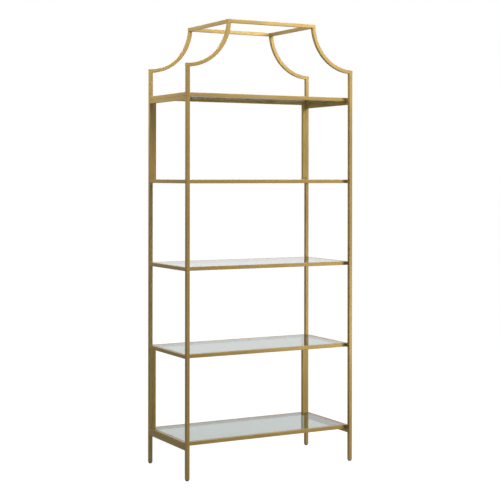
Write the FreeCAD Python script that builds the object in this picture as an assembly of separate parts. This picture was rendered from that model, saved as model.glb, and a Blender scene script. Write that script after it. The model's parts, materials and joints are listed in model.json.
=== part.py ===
import math
import os

import FreeCAD
import Part

# Etagere frame in millimetres: X runs along the width, Y from front to rear, Z up from the floor.
overall_width = 780
overall_depth = 372
leg_corner_height = 1656
crown_width_share = 0.528

# Square tube that every bar of the frame is cut from.
tube_side = 15
tube_wall = 1.2
tube_corner_radius = 1.5

# Shelf levels, counted from the top. A shelf's height is the top of its side rails.
shelf_count = 5
lowest_shelf_height = 149
top_shelf_drop = 115
rail_gap_to_leg = 10

# Crown stubs stand on the legs and are located by plugs.
stub_length = 32
plug_length_in_leg = 24
plug_clearance = 0.15
vent_radius = 2.5

# Glass shelves lie on bumpers on tabs that are welded to the rails.
glass_thickness = 4
glass_edge_gap = 1
glass_recess = 0.2
glass_corner_radius = 4
bumper_thickness = 1.5
bumper_radius = 4.5
tab_thickness = 2
tab_length = 20
tab_reach = 14
tab_spread_share = 0.5

# Screws that hold the front rails, the rear rails without posts and the back frames.
screw_radius = 2
screw_head_radius = 3.5
screw_head_height = 4
screw_socket_flats = 3
screw_socket_depth = 2
screw_clearance = 0.1
rail_insert_length = 20
rail_screw_engagement = 12
leg_screw_engagement = 6
access_clearance = 0.3
cap_clearance = 0.1
cap_thickness = 2.5
post_screw_inset = 60

# Levelling glides.
glide_pad_height = 5
glide_pad_radius = 7
glide_edge_chamfer = 0.8
glide_stem_radius = 3
glide_stem_length = 22
glide_clearance = 0.3
foot_insert_length = 25

cut_overrun = 1
right_angle = 90
full_turn = 360
hexagon_corners = 6

half_width = overall_width / 2
half_depth = overall_depth / 2
half_tube = tube_side / 2
tube_bore_side = tube_side - 2 * tube_wall
plug_side = tube_bore_side - 2 * plug_clearance
access_hole_radius = screw_head_radius + access_clearance
leg_x = half_width - half_tube
leg_y = half_depth - half_tube
leg_top = leg_corner_height - stub_length
rail_half_length = half_width - tube_side
side_rail_half_length = half_depth - tube_side
front_rail_y = side_rail_half_length - rail_gap_to_leg - half_tube
glass_bay_front = half_tube - front_rail_y
glass_bay_rear = side_rail_half_length
glass_middle_y = (glass_bay_front + glass_bay_rear) / 2
tab_drop = glass_recess + glass_thickness + bumper_thickness
post_x = leg_x - tube_side
framed_rail_half_length = post_x - half_tube
crown_width = overall_width * crown_width_share
crown_x = crown_width / 2 - half_tube
arc_radius = half_width - crown_x
crown_height = leg_corner_height - half_tube + arc_radius
crown_underside = crown_height - tube_side
shelf_pitch = (leg_corner_height - top_shelf_drop - lowest_shelf_height) / (shelf_count - 1)
shelf_levels = list(range(1, shelf_count + 1))

origin = FreeCAD.Vector(0, 0, 0)
axis_x = FreeCAD.Vector(1, 0, 0)
axis_y = FreeCAD.Vector(0, 1, 0)
axis_z = FreeCAD.Vector(0, 0, 1)
sides = {"left": -1, "right": 1}
faces = {"front": -1, "rear": 1}
back_frames = {"upper": shelf_levels[:2], "lower": shelf_levels[-2:]}
framed_levels = back_frames["upper"] + back_frames["lower"]
rung_levels = {"top": shelf_levels[0], "bottom": shelf_levels[-1]}


def shelf_height(level):
    return lowest_shelf_height + (shelf_count - level) * shelf_pitch


def rounded_outline(width, height, radius):
    x = width / 2
    y = height / 2
    inset = radius * (1 - math.cos(math.radians(right_angle / 2)))
    edges = []
    for sx, sy in ((1, 1), (-1, 1), (-1, -1), (1, -1)):
        on_side = FreeCAD.Vector(sx * x, sy * (y - radius), 0)
        middle = FreeCAD.Vector(sx * (x - inset), sy * (y - inset), 0)
        on_top = FreeCAD.Vector(sx * (x - radius), sy * y, 0)
        ends = (on_side, on_top) if sx == sy else (on_top, on_side)
        if edges:
            edges.append(Part.makeLine(edges[-1].Vertexes[-1].Point, ends[0]))
        edges.append(Part.Arc(ends[0], middle, ends[1]).toShape())
    edges.append(Part.makeLine(edges[-1].Vertexes[-1].Point, edges[0].Vertexes[0].Point))
    return Part.Face(Part.Wire(edges))


def bar(side, radius, axis, start, length):
    solid = rounded_outline(side, side, radius).extrude(axis_z * length)
    if axis == "x":
        solid.rotate(origin, axis_y, right_angle)
    if axis == "y":
        solid.rotate(origin, axis_x, -right_angle)
    solid.translate(FreeCAD.Vector(*start))
    return solid


def along(axis, start, distance):
    moved = list(start)
    moved["xyz".index(axis)] += distance
    return tuple(moved)


def bore_of_tube(axis, start, length):
    return bar(tube_bore_side, tube_corner_radius - tube_wall, axis, start, length)


def tube(axis, start, length):
    outer = bar(tube_side, tube_corner_radius, axis, start, length)
    return outer.cut(bore_of_tube(axis, along(axis, start, -cut_overrun), length + 2 * cut_overrun))


def closed_tube(axis, start, length):
    outer = bar(tube_side, tube_corner_radius, axis, start, length)
    return outer.cut(bore_of_tube(axis, along(axis, start, tube_wall), length - 2 * tube_wall))


def x_cylinder(radius, start_x, end_x, y, z):
    low = min(start_x, end_x)
    return Part.makeCylinder(radius, abs(end_x - start_x), FreeCAD.Vector(low, y, z), axis_x)


def z_cylinder(radius, x, y, low, high):
    return Part.makeCylinder(radius, high - low, FreeCAD.Vector(x, y, low), axis_z)


def box(low, high):
    size = FreeCAD.Vector(*high) - FreeCAD.Vector(*low)
    return Part.makeBox(size.x, size.y, size.z, FreeCAD.Vector(*low))


def hexagon_socket(side, mouth_x, y, z):
    step = math.radians(full_turn / hexagon_corners)
    corner = screw_socket_flats / 2 / math.cos(step / 2)
    points = []
    for k in range(hexagon_corners + 1):
        turned = k * step
        points.append(FreeCAD.Vector(mouth_x, y + corner * math.cos(turned), z + corner * math.sin(turned)))
    return Part.Face(Part.makePolygon(points)).extrude(axis_x * (-side * screw_socket_depth))


def screw(side, seat_x, grip, y, z):
    mouth_x = seat_x + side * screw_head_height
    head = x_cylinder(screw_head_radius, seat_x, mouth_x, y, z)
    shank = x_cylinder(screw_radius, seat_x, seat_x - side * grip, y, z)
    return head.fuse(shank).cut(hexagon_socket(side, mouth_x, y, z)).removeSplitter()


def hole_cap(side, outer_x, y, z):
    return x_cylinder(access_hole_radius - cap_clearance, outer_x, outer_x - side * cap_thickness, y, z)


def save(name, shape):
    shape.exportStep(os.path.join("parts", name + ".step"))


# A front rail is screwed to the side rails. A rear rail without posts is screwed to the rear legs.
def rail_screw_spots(level):
    middle = shelf_height(level) - half_tube
    spots = {"front": (-front_rail_y, middle)}
    if level not in framed_levels:
        spots["rear"] = (leg_y, middle)
    return spots


def drill_for_rail_screw(shape, side, y, z):
    outer_x = side * half_width
    inner_x = side * (half_width - tube_side)
    passage = x_cylinder(screw_radius + screw_clearance, inner_x - side * cut_overrun,
                         inner_x + side * (tube_wall + cut_overrun), y, z)
    access = x_cylinder(access_hole_radius, outer_x - side * (tube_wall + cut_overrun),
                        outer_x + side * cut_overrun, y, z)
    return shape.cut(passage).cut(access)


# The back posts are screwed to the rear legs near both ends.
def post_screw_heights(frame):
    high, low = back_frames[frame]
    return (shelf_height(low) - tube_side + post_screw_inset, shelf_height(high) - post_screw_inset)


def leg(side, face):
    start = (side * leg_x, face * leg_y, glide_pad_height)
    shape = tube("z", start, leg_top - glide_pad_height)
    if face > 0:
        inner_x = side * (half_width - tube_side)
        for frame in back_frames:
            for z in post_screw_heights(frame):
                hole = x_cylinder(screw_radius + screw_clearance, inner_x - side * cut_overrun,
                                  inner_x + side * (tube_wall + cut_overrun), leg_y, z)
                shape = shape.cut(hole)
        for level in shelf_levels:
            if level not in framed_levels:
                shape = drill_for_rail_screw(shape, side, *rail_screw_spots(level)["rear"])
    return shape


def side_rail(side, level):
    start = (side * leg_x, -side_rail_half_length, shelf_height(level) - half_tube)
    shape = tube("y", start, 2 * side_rail_half_length)
    return drill_for_rail_screw(shape, side, *rail_screw_spots(level)["front"])


def side_rung(side, level):
    middle = shelf_height(level) - tube_side - half_tube
    return tube("y", (side * leg_x, -side_rail_half_length, middle), 2 * side_rail_half_length)


def front_rail(level):
    start = (-rail_half_length, -front_rail_y, shelf_height(level) - half_tube)
    return tube("x", start, 2 * rail_half_length)


# Where back posts stand beside the legs, the rear rail ends at the posts.
def rear_rail(level):
    half_length = framed_rail_half_length if level in framed_levels else rail_half_length
    return tube("x", (-half_length, leg_y, shelf_height(level) - half_tube), 2 * half_length)


def rail_insert(side, y, z):
    start_x = rail_half_length - rail_insert_length if side > 0 else -rail_half_length
    block = bar(plug_side, tube_corner_radius, "x", (start_x, y, z), rail_insert_length)
    thread = x_cylinder(screw_radius + screw_clearance, start_x - cut_overrun,
                        start_x + rail_insert_length + cut_overrun, y, z)
    return block.cut(thread)


def rail_screw(side, y, z):
    seat_x = side * (half_width - tube_side + tube_wall)
    return screw(side, seat_x, tube_wall + rail_screw_engagement, y, z)


def back_post(side, frame):
    high, low = back_frames[frame]
    bottom = shelf_height(low) - tube_side
    shape = closed_tube("z", (side * post_x, leg_y, bottom), shelf_height(high) - bottom)
    outer_x = side * (post_x + half_tube)
    inner_x = side * (post_x - half_tube)
    for z in post_screw_heights(frame):
        passage = x_cylinder(screw_radius + screw_clearance, outer_x - side * (tube_wall + cut_overrun),
                             outer_x + side * cut_overrun, leg_y, z)
        access = x_cylinder(access_hole_radius, inner_x - side * cut_overrun,
                            inner_x + side * (tube_wall + cut_overrun), leg_y, z)
        shape = shape.cut(passage).cut(access)
    return shape


def post_screw(side, z):
    seat_x = side * (post_x + half_tube - tube_wall)
    return screw(-side, seat_x, 2 * tube_wall + leg_screw_engagement, leg_y, z)


def shelf_glass(level):
    width = 2 * (rail_half_length - glass_edge_gap)
    depth = glass_bay_rear - glass_bay_front - 2 * glass_edge_gap
    pane = rounded_outline(width, depth, glass_corner_radius).extrude(axis_z * glass_thickness)
    pane.translate(FreeCAD.Vector(0, glass_middle_y, shelf_height(level) - glass_recess - glass_thickness))
    return pane


# Two tabs on the front rail, two on the rear rail and one on each side rail carry a pane.
def tab_spots():
    spots = []
    for side in sides.values():
        x = side * tab_spread_share * half_width
        spots.append((x, glass_bay_front + tab_reach / 2, tab_length, tab_reach))
        spots.append((x, glass_bay_rear - tab_reach / 2, tab_length, tab_reach))
        spots.append((side * (rail_half_length - tab_reach / 2), glass_middle_y, tab_reach, tab_length))
    return spots


def tabs_and_bumpers(level):
    tab_top = shelf_height(level) - tab_drop
    tabs = []
    bumpers = []
    for x, y, along_x, along_y in tab_spots():
        low = (x - along_x / 2, y - along_y / 2, tab_top - tab_thickness)
        tabs.append(box(low, (x + along_x / 2, y + along_y / 2, tab_top)))
        bumpers.append(z_cylinder(bumper_radius, x, y, tab_top, tab_top + bumper_thickness))
    return tabs, bumpers


# A crown arm leaves its stub level and turns up in a quarter circle centred above the leg's outer face.
# It is shaped about that centre and then set in place.
def crown_arm(side, face):
    turn = axis_y * side
    wall_angle = math.degrees(tube_wall / arc_radius)
    parts = []
    for size, radius, lead in ((tube_side, tube_corner_radius, 0),
                               (tube_bore_side, tube_corner_radius - tube_wall, wall_angle)):
        section = rounded_outline(size, size, radius)
        section.rotate(origin, axis_y, right_angle)
        section.translate(axis_z * -arc_radius)
        section.rotate(origin, turn, lead)
        parts.append(section.revolve(origin, turn, right_angle))
    stub_start = (-side * half_tube, 0, half_tube - stub_length - arc_radius)
    stub = bar(tube_side, tube_corner_radius, "z", stub_start, stub_length - half_tube)
    shape = stub.fuse(parts[0]).cut(parts[1])
    bore_start = along("z", stub_start, -cut_overrun)
    stub_bore = bore_of_tube("z", bore_start, stub_length - tube_side + cut_overrun)
    reach = arc_radius + tube_side
    above = box((-reach, -tube_side, -tube_side), (reach, tube_side, tube_side))
    shape = shape.cut(stub_bore).cut(above).removeSplitter()
    shape.translate(FreeCAD.Vector(side * half_width, face * leg_y, crown_height))
    return shape


def crown_rail(face):
    middle = crown_height - half_tube
    shape = closed_tube("x", (-crown_width / 2, face * leg_y, middle), crown_width)
    for side in sides.values():
        vent = z_cylinder(vent_radius, side * crown_x, face * leg_y,
                          crown_underside - cut_overrun, crown_underside + tube_wall + cut_overrun)
        shape = shape.cut(vent)
    return shape


def crown_bar(side):
    start = (side * crown_x, -side_rail_half_length, crown_height - half_tube)
    return tube("y", start, 2 * side_rail_half_length)


def crown_plug(side, face):
    low = leg_top - plug_length_in_leg
    length = plug_length_in_leg + stub_length - tube_side - cut_overrun
    return bar(plug_side, tube_corner_radius, "z", (side * leg_x, face * leg_y, low), length)


def foot_insert(side, face):
    x = side * leg_x
    y = face * leg_y
    block = bar(plug_side, tube_corner_radius, "z", (x, y, glide_pad_height), foot_insert_length)
    top = glide_pad_height + foot_insert_length
    return block.cut(z_cylinder(glide_stem_radius + glide_clearance, x, y, glide_pad_height - cut_overrun,
                                top + cut_overrun))


def glide(side, face):
    x = side * leg_x
    y = face * leg_y
    base = Part.makeCone(glide_pad_radius - glide_edge_chamfer, glide_pad_radius, glide_edge_chamfer,
                         FreeCAD.Vector(x, y, 0), axis_z)
    pad = z_cylinder(glide_pad_radius, x, y, glide_edge_chamfer, glide_pad_height)
    stem = z_cylinder(glide_stem_radius, x, y, glide_pad_height, glide_pad_height + glide_stem_length)
    return base.fuse(pad).fuse(stem).removeSplitter()


def save_corner_pieces():
    plugs = []
    inserts = []
    for side_name, side in sides.items():
        for face_name, face in faces.items():
            corner = face_name + "_" + side_name
            save("leg_" + corner, leg(side, face))
            save("crown_arm_" + corner, crown_arm(side, face))
            save("glide_" + corner, glide(side, face))
            plugs.append(crown_plug(side, face))
            inserts.append(foot_insert(side, face))
    save("crown_plugs", Part.makeCompound(plugs))
    save("leg_foot_inserts", Part.makeCompound(inserts))


def save_shelves():
    inserts = []
    tabs = []
    bumpers = []
    for level in shelf_levels:
        save("front_rail_" + str(level), front_rail(level))
        save("rear_rail_" + str(level), rear_rail(level))
        for side_name, side in sides.items():
            save("side_rail_" + side_name + "_" + str(level), side_rail(side, level))
            for y, z in rail_screw_spots(level).values():
                inserts.append(rail_insert(side, y, z))
        save("shelf_glass_" + str(level), shelf_glass(level))
        level_tabs, level_bumpers = tabs_and_bumpers(level)
        tabs += level_tabs
        bumpers += level_bumpers
    save("rail_end_inserts", Part.makeCompound(inserts))
    save("glass_tabs", Part.makeCompound(tabs))
    save("glass_bumpers", Part.makeCompound(bumpers))


def save_end_and_back_frames():
    for side_name, side in sides.items():
        for rung_name, level in rung_levels.items():
            save("side_rung_" + side_name + "_" + rung_name, side_rung(side, level))
        for frame in back_frames:
            save("back_post_" + frame + "_" + side_name, back_post(side, frame))
        save("crown_bar_" + side_name, crown_bar(side))
    for face_name, face in faces.items():
        save("crown_rail_" + face_name, crown_rail(face))


def save_fasteners():
    screws = []
    caps = []
    for side in sides.values():
        for level in shelf_levels:
            for y, z in rail_screw_spots(level).values():
                screws.append(rail_screw(side, y, z))
                caps.append(hole_cap(side, side * half_width, y, z))
        for frame in back_frames:
            for z in post_screw_heights(frame):
                screws.append(post_screw(side, z))
                caps.append(hole_cap(-side, side * (post_x - half_tube), leg_y, z))
    save("frame_screws", Part.makeCompound(screws))
    save("screw_hole_caps", Part.makeCompound(caps))


os.makedirs("parts", exist_ok=True)
save_corner_pieces()
save_shelves()
save_end_and_back_frames()
save_fasteners()
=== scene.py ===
import json
import math

import bpy
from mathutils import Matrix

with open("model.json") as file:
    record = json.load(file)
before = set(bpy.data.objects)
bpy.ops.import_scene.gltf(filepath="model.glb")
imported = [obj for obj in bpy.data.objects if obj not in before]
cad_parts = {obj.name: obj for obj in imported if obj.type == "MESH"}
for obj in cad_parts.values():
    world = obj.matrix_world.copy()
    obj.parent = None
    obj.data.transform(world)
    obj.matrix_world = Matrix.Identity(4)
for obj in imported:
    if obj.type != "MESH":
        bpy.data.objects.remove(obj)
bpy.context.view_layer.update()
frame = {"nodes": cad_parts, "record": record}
scene = bpy.context.scene
cadNodes = frame["nodes"]
bpy.ops.object.select_all(action="DESELECT")
print("frame loaded with", len(cadNodes), "nodes")


def startMaterial(name):
    material = bpy.data.materials.new(name)
    material.use_nodes = True
    tree = material.node_tree
    return material, tree, tree.nodes["Principled BSDF"]


def addNode(tree, kind, **settings):
    node = tree.nodes.new(kind)
    for key, value in settings.items():
        setattr(node, key, value)
    return node


def objectPlace(tree):
    return addNode(tree, "ShaderNodeTexCoord").outputs["Object"]


def splitPlace(tree, place):
    parts = addNode(tree, "ShaderNodeSeparateXYZ")
    tree.links.new(place, parts.inputs["Vector"])
    return parts.outputs


def addNoise(tree, place, scale, detail):
    noise = addNode(tree, "ShaderNodeTexNoise")
    noise.inputs["Scale"].default_value = scale
    noise.inputs["Detail"].default_value = detail
    tree.links.new(place, noise.inputs["Vector"])
    return noise.outputs["Fac"]


# takes one span of a value to another span, and stops at both ends
def mapRange(tree, value, span, onto=(0, 1), smooth=False):
    node = addNode(tree, "ShaderNodeMapRange")
    if smooth:
        node.interpolation_type = "SMOOTHSTEP"
    for name, number in zip(("From Min", "From Max", "To Min", "To Max"), span + onto):
        node.inputs[name].default_value = number
    tree.links.new(value, node.inputs["Value"])
    return node.outputs["Result"]


def doMath(tree, operation, first, second=None):
    node = addNode(tree, "ShaderNodeMath", operation=operation)
    for socket, value in zip(node.inputs, (first, second)):
        if isinstance(value, (int, float)):
            socket.default_value = value
        elif value is not None:
            tree.links.new(value, socket)
    return node.outputs["Value"]


def mixColour(tree, factor, first, second):
    node = addNode(tree, "ShaderNodeMix", data_type="RGBA")
    tree.links.new(factor, node.inputs["Factor"])
    for socket, value in ((node.inputs["A"], first), (node.inputs["B"], second)):
        if isinstance(value, tuple):
            socket.default_value = value
        else:
            tree.links.new(value, socket)
    return node.outputs["Result"]


goldFinish = {
    "light": (0.475, 0.325, 0.112, 1),
    "deep": (0.41, 0.272, 0.085, 1),
    "metallic": 0.16,
    "specular": 0.06,
    "roughness": (0.28, 0.40),
    "noiseSpan": (0.3, 0.7),
    "cloudScale": 7.0,
    "cloudDetail": 3.0,
    "grainScale": 900.0,
    "grainDetail": 2.0,
    "grainBump": 0.05,
    "grainDepth": 0.0004,
    "seamHeight": 1.624,  # the crown arms stand on the legs here
    "seamSpan": (0.00055, 0.0011),  # full painted shade up to the first, none past the second
    "seamPaintedShade": 0.45,
    "seamShadowColour": (0.05, 0.03, 0.01, 1),
}


def makeGold():
    look = goldFinish
    material, tree, shader = startMaterial("satinGold")
    place = objectPlace(tree)
    clouds = addNoise(tree, place, look["cloudScale"], look["cloudDetail"])
    tone = mixColour(tree, mapRange(tree, clouds, look["noiseSpan"]), look["deep"], look["light"])
    # painted shade: a thin dark band where the crown arms meet the legs stands in for the shadow
    # in the seam gap
    height = splitPlace(tree, place)["Z"]
    fromSeam = doMath(tree, "ABSOLUTE", doMath(tree, "SUBTRACT", height, look["seamHeight"]))
    seamShadow = mapRange(tree, fromSeam, look["seamSpan"], (look["seamPaintedShade"], 0), smooth=True)
    tone = mixColour(tree, seamShadow, tone, look["seamShadowColour"])
    tree.links.new(tone, shader.inputs["Base Color"])
    grain = addNoise(tree, place, look["grainScale"], look["grainDetail"])
    satin = mapRange(tree, grain, look["noiseSpan"], look["roughness"])
    tree.links.new(satin, shader.inputs["Roughness"])
    bump = addNode(tree, "ShaderNodeBump")
    bump.inputs["Strength"].default_value = look["grainBump"]
    bump.inputs["Distance"].default_value = look["grainDepth"]
    tree.links.new(grain, bump.inputs["Height"])
    tree.links.new(bump.outputs["Normal"], shader.inputs["Normal"])
    shader.inputs["Metallic"].default_value = look["metallic"]
    shader.inputs["Specular IOR Level"].default_value = look["specular"]
    return material


glassFinish = {
    "clear": (0.78, 0.85, 0.82, 1),  # seen from above
    "slantedShade": (0.12, 0.155, 0.14, 1),  # seen at a shallow angle, darkened as painted shade for the shaded floor seen through the pane
    "facingSpan": (0.35, 0.8),
    "edge": (0.16, 0.36, 0.28, 1),
    "edgeBand": 0.0012,
    "halfWidth": 0.374,
    "halfDepth": 0.1575,
    "middleY": 0.0125,
    "wipeScale": 5.0,
    "wipeDetail": 4.0,
    "wipeSpan": (0.45, 0.75),
    "smudge": (0.0, 0.006),
    "transmission": 1.0,
    "ior": 1.5,
}


def makeGlass():
    look = glassFinish
    material, tree, shader = startMaterial("shelfGlass")
    place = objectPlace(tree)
    parts = splitPlace(tree, place)
    across = doMath(tree, "ABSOLUTE", parts["X"])
    along = doMath(tree, "ABSOLUTE", doMath(tree, "SUBTRACT", parts["Y"], look["middleY"]))
    nearEnd, nearSide = [
        mapRange(tree, distance, (look[half] - look["edgeBand"], look[half]))
        for distance, half in ((across, "halfWidth"), (along, "halfDepth"))
    ]
    edge = doMath(tree, "MAXIMUM", nearEnd, nearSide)
    # painted shade: the pane's tint darkens at shallow angles, standing in for the shaded floor
    # seen through the glass
    facing = addNode(tree, "ShaderNodeLayerWeight").outputs["Facing"]
    slant = mapRange(tree, facing, look["facingSpan"], smooth=True)
    tintAndShade = mixColour(tree, slant, look["clear"], look["slantedShade"])
    tree.links.new(mixColour(tree, edge, tintAndShade, look["edge"]), shader.inputs["Base Color"])
    wipe = addNoise(tree, place, look["wipeScale"], look["wipeDetail"])
    smudge = mapRange(tree, wipe, look["wipeSpan"], look["smudge"])
    tree.links.new(smudge, shader.inputs["Roughness"])
    shader.inputs["Transmission Weight"].default_value = look["transmission"]
    shader.inputs["IOR"].default_value = look["ior"]
    return material


plasticFinishes = {
    "glideRubber": {
        "colour": (0.022, 0.021, 0.02, 1),
        "paler": (0.05, 0.048, 0.045, 1),
        "roughness": (0.5, 0.7),
    },
    "plugPlastic": {
        "colour": (0.05, 0.05, 0.05, 1),
        "paler": (0.08, 0.08, 0.08, 1),
        "roughness": (0.4, 0.6),
    },
}
plasticScuff = {
    "scale": 160.0,
    "detail": 3.0,
    "colourSpan": (0.4, 0.7),
    "roughSpan": (0.3, 0.7),
}


def makePlastic(name):
    look = plasticFinishes[name]
    material, tree, shader = startMaterial(name)
    scuff = addNoise(tree, objectPlace(tree), plasticScuff["scale"], plasticScuff["detail"])
    pale = mapRange(tree, scuff, plasticScuff["colourSpan"])
    tree.links.new(mixColour(tree, pale, look["colour"], look["paler"]),
                   shader.inputs["Base Color"])
    tree.links.new(mapRange(tree, scuff, plasticScuff["roughSpan"], look["roughness"]),
                   shader.inputs["Roughness"])
    return material


zincFinish = {
    "colour": (0.55, 0.55, 0.56, 1),
    "dull": (0.40, 0.40, 0.42, 1),
    "spangleScale": 220.0,
    "spangleDetail": 2.0,
    "noiseSpan": (0.3, 0.7),
    "roughness": (0.25, 0.45),
    "metallic": 1.0,
}


def makeZinc():
    look = zincFinish
    material, tree, shader = startMaterial("zincSteel")
    spangle = addNoise(tree, objectPlace(tree), look["spangleScale"], look["spangleDetail"])
    tree.links.new(mixColour(tree, spangle, look["dull"], look["colour"]),
                   shader.inputs["Base Color"])
    tree.links.new(mapRange(tree, spangle, look["noiseSpan"], look["roughness"]),
                   shader.inputs["Roughness"])
    shader.inputs["Metallic"].default_value = look["metallic"]
    return material


bumperFinish = {
    "colour": (0.86, 0.88, 0.88, 1),
    "haze": (0.78, 0.80, 0.80, 1),
    "hazeScale": 120.0,
    "hazeDetail": 2.0,
    "noiseSpan": (0.3, 0.7),
    "roughness": (0.15, 0.35),
    "transmission": 0.7,
    "ior": 1.45,
}


def makeBumper():
    look = bumperFinish
    material, tree, shader = startMaterial("clearBumper")
    haze = addNoise(tree, objectPlace(tree), look["hazeScale"], look["hazeDetail"])
    tree.links.new(mixColour(tree, haze, look["colour"], look["haze"]),
                   shader.inputs["Base Color"])
    tree.links.new(mapRange(tree, haze, look["noiseSpan"], look["roughness"]),
                   shader.inputs["Roughness"])
    shader.inputs["Transmission Weight"].default_value = look["transmission"]
    shader.inputs["IOR"].default_value = look["ior"]
    return material


finishBySlot = {
    "gold_frame": makeGold(),
    "shelf_glass": makeGlass(),
    "glide_plastic": makePlastic("glideRubber"),
    "plug_plastic": makePlastic("plugPlastic"),
    "insert_steel": makeZinc(),
    "clear_bumper": makeBumper(),
}
finishBySlot["gold_cap"] = finishBySlot["gold_frame"]


def dressNodes():
    for entry in frame["record"]["subparts"]:
        node = cadNodes[entry["node"]]
        for slot in node.material_slots:
            slot.material = finishBySlot[entry["material_slot"]]


dressNodes()
print("materials assigned")

floorLook = {
    "size": 80.0,
    "drop": 0.0004,  # keeps the floor just clear of the glide pads
    "albedo": (0.34, 0.335, 0.33, 1),
    "glow": (0.92, 1.0),  # near the stand and far from it
    "reach": (1.5, 4.0),
    "catch": (0.25, 0.25, 0.25, 1),  # lit part that takes the shadow
}


# white for the camera, for mirrors and through glass
def seenDirectly(tree):
    path = addNode(tree, "ShaderNodeLightPath")
    direct = doMath(tree, "MAXIMUM", path.outputs["Is Camera Ray"], path.outputs["Is Glossy Ray"])
    return doMath(tree, "MAXIMUM", direct, path.outputs["Is Transmission Ray"])


def makeFloor():
    look = floorLook
    bpy.ops.mesh.primitive_plane_add(size=look["size"], location=(0, 0, -look["drop"]))
    floor = bpy.context.object
    floor.name = "studioFloor"
    material, tree, shader = startMaterial("paleFloor")
    tree.nodes.remove(shader)
    diffuse = addNode(tree, "ShaderNodeBsdfDiffuse")
    diffuse.inputs["Color"].default_value = look["albedo"]
    catch = addNode(tree, "ShaderNodeBsdfDiffuse")
    catch.inputs["Color"].default_value = look["catch"]
    glow = addNode(tree, "ShaderNodeEmission")
    away = addNode(tree, "ShaderNodeVectorMath", operation="LENGTH")
    tree.links.new(objectPlace(tree), away.inputs[0])
    level = mapRange(tree, away.outputs["Value"], look["reach"], look["glow"], smooth=True)
    tree.links.new(level, glow.inputs["Strength"])
    white = addNode(tree, "ShaderNodeAddShader")
    tree.links.new(catch.outputs["BSDF"], white.inputs[0])
    tree.links.new(glow.outputs["Emission"], white.inputs[1])
    mix = addNode(tree, "ShaderNodeMixShader")
    tree.links.new(seenDirectly(tree), mix.inputs["Fac"])
    tree.links.new(diffuse.outputs["BSDF"], mix.inputs[1])
    tree.links.new(white.outputs["Shader"], mix.inputs[2])
    tree.links.new(mix.outputs["Shader"], tree.nodes["Material Output"].inputs["Surface"])
    floor.data.materials.append(material)


worldLook = {
    "colour": (1, 1, 1, 1),
    "skySpan": (0.0, 1.0),
    "softLevel": (0.02, 0.05),  # at the horizon and overhead
    "whiteLevel": 1.0,
}


def makeWorld():
    look = worldLook
    world = bpy.data.worlds.new("studioAir")
    scene.world = world
    world.use_nodes = True
    tree = world.node_tree
    soft = tree.nodes["Background"]
    soft.inputs["Color"].default_value = look["colour"]
    upward = splitPlace(tree, addNode(tree, "ShaderNodeTexCoord").outputs["Generated"])["Z"]
    tree.links.new(mapRange(tree, upward, look["skySpan"], look["softLevel"]),
                   soft.inputs["Strength"])
    white = addNode(tree, "ShaderNodeBackground")
    white.inputs["Color"].default_value = look["colour"]
    white.inputs["Strength"].default_value = look["whiteLevel"]
    mix = addNode(tree, "ShaderNodeMixShader")
    tree.links.new(seenDirectly(tree), mix.inputs["Fac"])
    tree.links.new(soft.outputs["Background"], mix.inputs[1])
    tree.links.new(white.outputs["Background"], mix.inputs[2])
    tree.links.new(mix.outputs["Shader"], tree.nodes["World Output"].inputs["Surface"])


softBoxes = {
    "keyRight": {
        "place": (1.8, -2.1, 2.58), "aim": (0.2, 0.0, 1.3), "size": (1.0, 0.8), "watts": 54,
    },
    "lowRight": {
        "place": (1.35, -1.75, 0.42), "aim": (0.25, 0.0, 0.45), "size": (0.7, 0.5), "watts": 8.5,
    },
    "topLeft": {
        "place": (-0.4, -0.55, 2.75), "aim": (-0.15, 0.05, 1.6), "size": (0.8, 0.5), "watts": 10,
    },
    "topRight": {
        "place": (0.45, -0.55, 2.75), "aim": (0.15, 0.05, 1.6), "size": (0.8, 0.5), "watts": 10,
    },
    "sideLeft": {
        "place": (-1.1, 0.3, 2.0), "aim": (0.0, 0.0, 1.6), "size": (0.4, 0.4), "watts": 7.5,
    },
    "backWash": {
        "place": (0.6, 2.6, 3.0), "aim": (0.0, 0.0, 1.0), "size": (1.4, 1.0), "watts": 25,
    },
}


def makeLights():
    for name, look in softBoxes.items():
        bpy.ops.object.light_add(type="AREA", location=look["place"])
        lamp = bpy.context.object
        lamp.name = name
        lamp.data.shape = "RECTANGLE"
        lamp.data.size, lamp.data.size_y = look["size"]
        lamp.data.energy = look["watts"]
        lamp.visible_transmission = False  # not seen through the panes
        toX, toY, toZ = [end - start for end, start in zip(look["aim"], look["place"])]
        tilt = math.atan2(math.hypot(toX, toY), -toZ)
        lamp.rotation_euler = (tilt, 0, math.atan2(-toX, toY))


cameraLook = {
    "place": (-2.5737, -4.7183, 1.2076),
    "tilt": 90.0,  # level, so the legs stay upright in the picture
    "turn": 28.571,
    "roll": -0.069,
    "lens": 91.556,
    "sensor": 36.0,
    "shiftX": 0.0003,
    "shiftY": -0.1479,
    "sight": 200.0,
}


def makeCamera():
    look = cameraLook
    bpy.ops.object.camera_add(location=look["place"])
    camera = bpy.context.object
    camera.name = "photoCamera"
    angles = (look["tilt"], look["roll"], -look["turn"])
    camera.rotation_euler = [math.radians(angle) for angle in angles]
    camera.data.sensor_width = look["sensor"]
    camera.data.lens = look["lens"]
    camera.data.shift_x = look["shiftX"]
    camera.data.shift_y = look["shiftY"]
    camera.data.clip_end = look["sight"]
    scene.camera = camera


makeFloor()
makeWorld()
makeLights()
makeCamera()
scene.view_settings.view_transform = "Standard"
print("stage, lights and camera set")
